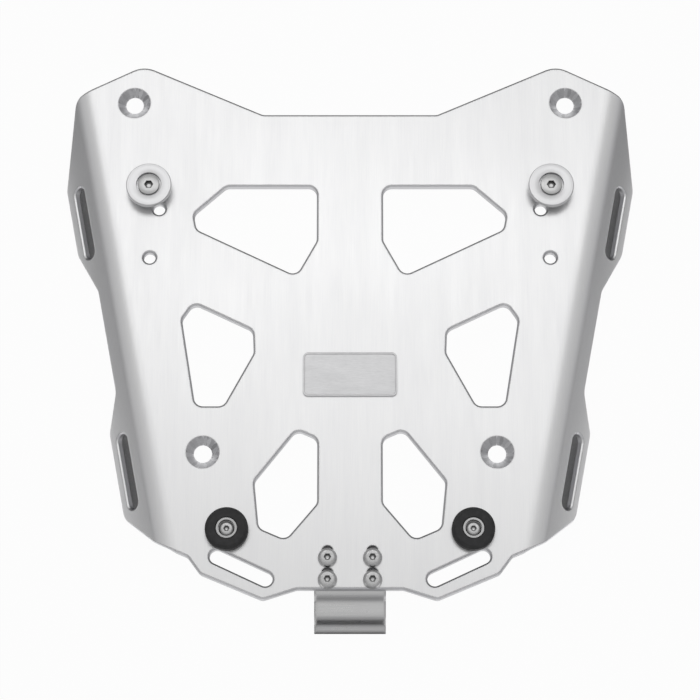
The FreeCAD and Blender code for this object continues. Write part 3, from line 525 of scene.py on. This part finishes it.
# %% Turned metal
def turned_metal(name, light, dark, width_mm, pitch_mm, rough, depth_mm):
    """Metal with fine lathe rings about the middle of a piece that is width_mm across."""
    material, tree, output = new_material(name)
    boxed = add(tree, "ShaderNodeTexCoord").outputs["Generated"]
    centred = add(tree, "ShaderNodeVectorMath", {0: boxed, 1: (0.5, 0.5, 0.0)}, operation="SUBTRACT")
    flat = add(tree, "ShaderNodeVectorMath", {0: centred.outputs[0], 1: (width_mm, width_mm, 0.0)},
               operation="MULTIPLY")
    radius = add(tree, "ShaderNodeVectorMath", {0: flat.outputs[0]}, operation="LENGTH")
    rings = add(tree, "ShaderNodeTexNoise", {"W": radius.outputs["Value"], "Scale": 1 / pitch_mm,
                                             "Detail": 2.0, "Roughness": 0.7},
                noise_dimensions="1D").outputs["Fac"]
    tone = add(tree, "ShaderNodeMix", {0: rings, 6: colour(dark), 7: colour(light)}, data_type="RGBA")
    rough_here = add(tree, "ShaderNodeMapRange", {0: rings, 1: 0.2, 2: 0.8, 3: rough + 0.06, 4: rough - 0.05})
    bump = add(tree, "ShaderNodeBump", {"Height": rings, "Distance": depth_mm * MM, "Strength": 0.5})
    metal = add(tree, "ShaderNodeBsdfPrincipled", {
        "Base Color": tone.outputs[2], "Metallic": 1.0, "Roughness": rough_here.outputs[0],
        "Normal": bump.outputs[0]})
    tree.links.new(metal.outputs[0], output.inputs[0])
    return material


disc_metal = turned_metal("turned_aluminium", "#E4E4E5", "#D6D6D7", 23.0, 0.45, 0.32, 0.008)
cup_metal = turned_metal("turned_stainless", "#C9C9C9", "#B2B2B2", 10.2, 0.30, 0.28, 0.006)
give(cup_metal, "buffer_cup_left", "buffer_cup_right")

# %% [markdown]
# ## Turned pieces with fine edges
#
# The solids of the discs, screws and nuts are kept plain. Here they get what the picture
# shows: a counterbore round a low screw head, domed heads, sockets with a broken rim and
# nuts with chamfered corners and the collar that holds their locking ring. All of them
# are rings of points about an axis, so one function makes each from a list of rings. A
# ring with a third entry is a hexagon: the first entry is half of its width over the flats,
# and the third the radius that its corners are cut down to.

# %% A piece from rings
SEGMENTS = 96


def turned_piece(name, rings, x, y, material, node, socket=None):
    """Join rings of (radius, height) in mm about an upright axis into one closed mesh. A
    socket material goes on the floor and walls of the key's hole, the second and third bands."""
    middle = Vector((x, y, 0))
    mesh = bmesh.new()
    rows = []
    for radius, z, *hexagon in rings:
        row = []
        for i in range(SEGMENTS if radius else 1):
            turn = 2 * math.pi * i / SEGMENTS
            r = radius
            if hexagon:
                r /= math.cos(turn % (math.pi / 3) - math.pi / 6)
                r = min(r, hexagon[0])
            spot = middle + Vector((r * math.cos(turn), r * math.sin(turn), z))
            row.append(mesh.verts.new(spot * MM))
        rows.append(row)
    for band, (above, below) in enumerate(zip(rows, rows[1:])):
        for i in range(SEGMENTS):
            k = (i + 1) % SEGMENTS
            corners = [above[i % len(above)], above[k % len(above)],
                       below[k % len(below)], below[i % len(below)]]
            face = mesh.faces.new(list(dict.fromkeys(corners)))
            face.material_index = 1 if socket and band in (1, 2) else 0
    if len(rows[0]) > 1:
        bmesh.ops.remove_doubles(mesh, verts=rows[0] + rows[-1], dist=0.001 * MM)
    bmesh.ops.recalc_face_normals(mesh, faces=mesh.faces[:])
    data = bpy.data.meshes.new(name)
    mesh.to_mesh(data)
    mesh.free()
    data.shade_smooth()
    data.set_sharp_from_angle(angle=math.radians(28))
    data.materials.append(material)
    if socket:
        data.materials.append(socket)
    piece = bpy.data.objects.new(name, data)
    bpy.context.scene.collection.objects.link(piece)
    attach(piece, "root")
    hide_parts(node)


# %% [markdown]
# Each disc has a broken outer edge, a top that falls slightly outward and a counterbore
# that takes the head of its screw.

# %% Discs
PLATE_TOP = 4.0
DISC_X, DISC_Y = 102.2, 45.5
DISC, STEM, BORE = 11.5, 7.0, 3.3
UNDERSIDE, DISC_TOP = 8.6, 11.98
HEAD_ROOM, HEAD_SEAT = 6.2, 9.6
disc_rings = [
    (BORE, PLATE_TOP), (STEM - 0.1, PLATE_TOP), (STEM, PLATE_TOP + 0.15), (STEM, UNDERSIDE),
    (DISC - 0.3, UNDERSIDE), (DISC - 0.08, UNDERSIDE + 0.1), (DISC, UNDERSIDE + 0.35),
    (DISC, 11.0), (DISC - 0.12, 11.36), (DISC - 0.4, 11.6), (HEAD_ROOM + 0.22, DISC_TOP),
    (HEAD_ROOM + 0.1, DISC_TOP - 0.05), (HEAD_ROOM, 11.7), (HEAD_ROOM, HEAD_SEAT),
    (BORE, HEAD_SEAT), (BORE, PLATE_TOP)]
for side, word in ((1, "right"), (-1, "left")):
    turned_piece("turned_disc_" + word, disc_rings, side * DISC_X, DISC_Y, disc_metal,
                 "case_disc_" + word)
print("discs with a counterbore")

# %% [markdown]
# Screws, washers and nuts are stainless steel, cold headed and tumbled: greyer than the
# aluminium, with a soft uneven shine. The dents of tumbling are a tenth of a millimetre
# wide, and the mottle is drawn coarser than that.

# %% Stainless fasteners
def tumbled_steel(name, light, dark, grain_mm, rough):
    """Stainless steel with the soft mottle of tumbling."""
    material, tree, output = new_material(name)
    place = add(tree, "ShaderNodeTexCoord").outputs["Object"]
    mottle = add(tree, "ShaderNodeTexNoise", {
        "Vector": place, "Scale": 1 / (grain_mm * MM), "Detail": 4.0, "Roughness": 0.6}).outputs["Fac"]
    spread = add(tree, "ShaderNodeMapRange", {0: mottle, 1: 0.3, 2: 0.7, 3: 0.0, 4: 1.0}).outputs[0]
    tone = add(tree, "ShaderNodeMix", {0: spread, 6: colour(dark), 7: colour(light)}, data_type="RGBA")
    rough_here = add(tree, "ShaderNodeMapRange", {
        0: spread, 1: 0.0, 2: 1.0, 3: rough + 0.08, 4: rough - 0.05})
    bump = add(tree, "ShaderNodeBump", {"Height": mottle, "Distance": 0.004 * MM, "Strength": 0.4})
    metal = add(tree, "ShaderNodeBsdfPrincipled", {
        "Base Color": tone.outputs[2], "Metallic": 1.0, "Roughness": rough_here.outputs[0],
        "Normal": bump.outputs[0]})
    tree.links.new(metal.outputs[0], output.inputs[0])
    return material


fastener_steel = tumbled_steel("tumbled_stainless", "#B9B9B9", "#9C9C9C", 0.8, 0.30)
give(fastener_steel, *[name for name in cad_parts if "washer" in name])

# %% [markdown]
# Heads and nuts come in several sizes but in few forms, so three helpers return the rings
# of a socket, of a domed screw and of a lock nut. A screw's list starts on the axis at the
# bottom of its socket, goes up over the head and comes down the shank to the axis again.
# A nut's list starts at the upper rim of its bore and goes round the outside back to it.

# %% Rings of heads, sockets and nuts
SHARP = 99


def socket_rings(half_key, top, floor):
    """The hexagon socket, from the dimple that the drill left up to its broken rim. Its
    corners stay SHARP."""
    return [(0, floor - 0.2), (half_key * 0.5, floor), (half_key, floor, SHARP),
            (half_key, top - 0.12, SHARP), (half_key + 0.12, top, SHARP)]


def button_rings(seat, radius, height, half_key, shank, end):
    """A domed head on a plain shank with a chamfered end."""
    top = seat + height
    dome = [(radius * (0.60 + 0.40 * math.sin(turn)), seat + height * (0.12 + 0.88 * math.cos(turn)))
            for turn in [math.radians(8 + 82 * i / 7) for i in range(8)]]
    return (socket_rings(half_key, top, top - height * 0.6) + [(radius * 0.60, top)] + dome
            + [(radius, seat), (shank, seat), (shank, end + 0.5), (shank - 0.5, end), (0, end)])


def lock_nut_rings(top, half_width, height, bore):
    """A hexagon nut with chamfered corners and the round collar of its locking ring."""
    corner = half_width / math.cos(math.pi / 6)
    foot, end = top - height * 0.66, top - height
    return [(bore, top), (half_width, top, half_width * 1.01), (half_width, top - 0.5, corner - 0.05),
            (half_width, foot + 0.4, corner - 0.05), (half_width, foot, half_width * 1.01),
            (half_width * 0.86, foot), (half_width * 0.86, end + 0.5), (half_width * 0.78, end + 0.1),
            (half_width * 0.72, end), (bore + 0.35, end), (bore, end + 0.3), (bore, top)]


# %% [markdown]
# The low heads were faced on a lathe, and the domed heads were pressed. The sockets were broached; their
# floor and walls get a darker steel as painted shade in the hollow, apart from the dimple at the bottom.

# %% Screws and nuts
BUFFER_X, BUFFER_Y = 60.3, -133.0
CATCH_X, CATCH_ROWS = 11.0, (("front", -147.0), ("rear", -157.9))
headed_steel = tumbled_steel("headed_stainless", "#D8D8D8", "#BEBEBE", 0.8, 0.30)
faced_steel = turned_metal("faced_stainless", "#D2D2D2", "#C0C0C0", 10.9, 0.30, 0.30, 0.006)
# The socket steel is painted shade: darker grey for the floor and walls of the key's hollow.
socket_painted_shade = tumbled_steel("broached_socket_painted_shade", "#8A8A8A", "#6E6E6E", 0.4, 0.45)
HEAD, HEAD_TOP, SHANK, SHANK_END = 5.45, 11.75, 3.0, -8.0
low_head = socket_rings(1.95, HEAD_TOP, 9.7) + [
    (5.0, HEAD_TOP), (5.32, 11.62), (HEAD, 11.35), (HEAD, HEAD_SEAT), (SHANK, HEAD_SEAT),
    (SHANK, SHANK_END + 0.5), (SHANK - 0.5, SHANK_END), (0, SHANK_END)]
for side, word in ((1, "right"), (-1, "left")):
    x, y = side * DISC_X, DISC_Y
    turned_piece("low_head_screw_" + word, low_head, x, y, faced_steel, "disc_screw_" + word,
                 socket=socket_painted_shade)
    turned_piece("disc_lock_nut_" + word, lock_nut_rings(-1.6, 5.0, 6.0, 3.3), x, y, fastener_steel,
                 "disc_nut_" + word)
    x, y = side * BUFFER_X, BUFFER_Y
    turned_piece("buffer_button_screw_" + word, button_rings(5.2, 3.8, 2.2, 1.25, 2.0, -6.8), x, y,
                 headed_steel, "buffer_screw_" + word, socket=socket_painted_shade)
    turned_piece("buffer_lock_nut_" + word, lock_nut_rings(-0.8, 3.5, 5.0, 2.3), x, y, fastener_steel,
                 "buffer_nut_" + word)
    for row, y in CATCH_ROWS:
        x, tail = side * CATCH_X, "%s_%s" % (row, word)
        turned_piece("catch_button_screw_" + tail, button_rings(PLATE_TOP, 4.75, 2.75, 1.5, 2.5, -10.0),
                     x, y, headed_steel, "hook_screw_" + tail, socket=socket_painted_shade)
        turned_piece("catch_lock_nut_" + tail, lock_nut_rings(-3.0, 4.0, 5.0, 2.8), x, y, fastener_steel,
                     "hook_nut_" + tail)
print("screws and nuts replaced")

# %% [markdown]
# The catch is a strip of stainless steel, ground across its width before it was bent. The
# rolled bends of such a strip are soft, so its shading rounds them over 3 mm.

# %% Catch
strip_steel = brushed_metal("ground_stainless", "#E4E4E4", "#D6D6D6", 0.40, 12, 0.28, 0.006, 3.0, axis=1)
give(strip_steel, "rear_hook")

# %% [markdown]
# ## Rubber
#
# The buffers are moulded rubber: nearly black, dull, with a fine grain of the mould and a
# little dust that makes it paler in places. The grain is drawn coarser than the real one.

# %% Moulded rubber
rubber, tree, output = new_material("moulded_rubber")
place = add(tree, "ShaderNodeTexCoord").outputs["Object"]
grain = add(tree, "ShaderNodeTexNoise", {
    "Vector": place, "Scale": 1 / (0.25 * MM), "Detail": 3.0}).outputs["Fac"]
dust = add(tree, "ShaderNodeTexNoise", {
    "Vector": place, "Scale": 1 / (3.0 * MM), "Detail": 5.0}).outputs["Fac"]
dusting = add(tree, "ShaderNodeMapRange", {0: dust, 1: 0.45, 2: 0.75, 3: 0.0, 4: 0.5}).outputs[0]
tone = add(tree, "ShaderNodeMix", {0: dusting, 6: colour("#262627"), 7: colour("#404041")}, data_type="RGBA")
rough_here = add(tree, "ShaderNodeMapRange", {0: grain, 1: 0.3, 2: 0.7, 3: 0.52, 4: 0.66})
rounded = add(tree, "ShaderNodeBevel", {"Radius": 0.9 * MM}, samples=6).outputs[0]
bump = add(tree, "ShaderNodeBump", {
    "Height": grain, "Distance": 0.02 * MM, "Strength": 0.4, "Normal": rounded})
skin = add(tree, "ShaderNodeBsdfPrincipled", {
    "Base Color": tone.outputs[2], "IOR": 1.52, "Roughness": rough_here.outputs[0],
    "Normal": bump.outputs[0]})
tree.links.new(skin.outputs[0], output.inputs[0])
give(rubber, "rubber_buffer_left", "rubber_buffer_right")

# %% [markdown]
# ## The look of the picture
#
# The Standard view shows colours as they were written.

# %% View
bpy.context.scene.view_settings.view_transform = "Standard"
